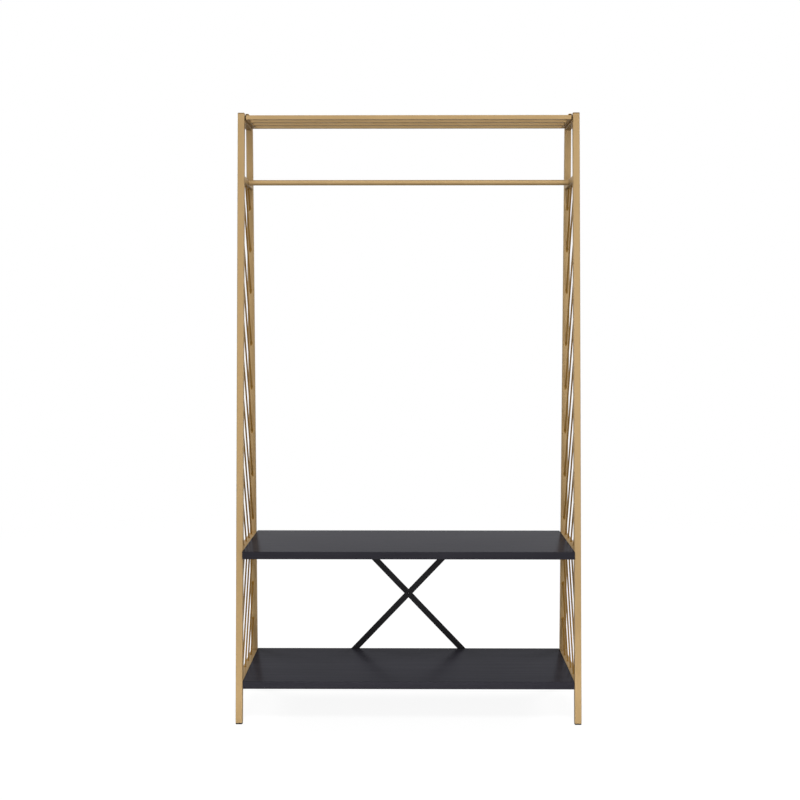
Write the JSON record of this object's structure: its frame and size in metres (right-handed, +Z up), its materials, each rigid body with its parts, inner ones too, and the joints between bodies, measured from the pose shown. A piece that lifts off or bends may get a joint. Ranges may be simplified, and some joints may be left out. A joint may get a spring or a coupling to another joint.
{
  "type": "hall tree",
  "caption": "Free-standing hall tree: leaning gold side frames with slanting lattice rods carry a bench, a lower shelf, a hanging rod and a slatted top rack, braced at the back.",
  "frame": {"origin": "on the floor, midway between the four feet", "axes": "+Z up, +X to the right seen from the front, +Y to the back, so the front faces -Y"},
  "size_m": [1.0218, 0.4056, 1.804],
  "materials": {
    "gold_metal": "satin champagne gold",
    "gold_plastic": "satin, moulded",
    "charcoal_board": "satin charcoal lacquer",
    "black_metal": "satin powder coat",
    "foot_plastic": "matt, moulded",
    "zinc_steel": "zinc plated"
  },
  "bodies": {
    "root": {"bench_bolts": "gold_metal", "bench_inserts": "zinc_steel", "bench_shelf": "charcoal_board", "brace_rivet": "black_metal", "brace_screws": "black_metal", "flat_brace_bar": "black_metal", "front_middle_rack_bar": "gold_metal", "front_rack_bar": "gold_metal", "hanging_rod": "gold_metal", "hanging_rod_bolts": "gold_metal", "hanging_rod_plugs": "zinc_steel", "left_bench_rail": "gold_metal", "left_front_foot": "foot_plastic", "left_front_post": "gold_metal", "left_front_post_cap": "gold_plastic", "left_hanger_rail": "gold_metal", "left_lower_lattice": "gold_metal", "left_lower_rail": "gold_metal", "left_rack_end_bar": "gold_metal", "left_rear_foot": "foot_plastic", "left_rear_post": "gold_metal", "left_rear_post_cap": "gold_plastic", "left_top_rail": "gold_metal", "left_upper_lattice": "gold_metal", "lower_shelf": "charcoal_board", "lower_shelf_bolts": "gold_metal", "lower_shelf_inserts": "zinc_steel", "rack_bolts": "gold_metal", "rack_end_plugs": "foot_plastic", "rack_nuts": "zinc_steel", "rear_middle_rack_bar": "gold_metal", "rear_rack_bar": "gold_metal", "right_bench_rail": "gold_metal", "right_front_foot": "foot_plastic", "right_front_post": "gold_metal", "right_front_post_cap": "gold_plastic", "right_hanger_rail": "gold_metal", "right_lower_lattice": "gold_metal", "right_lower_rail": "gold_metal", "right_rack_end_bar": "gold_metal", "right_rear_foot": "foot_plastic", "right_rear_post": "gold_metal", "right_rear_post_cap": "gold_plastic", "right_top_rail": "gold_metal", "right_upper_lattice": "gold_metal", "stepped_brace_bar": "black_metal"}
  },
  "joints": []
}
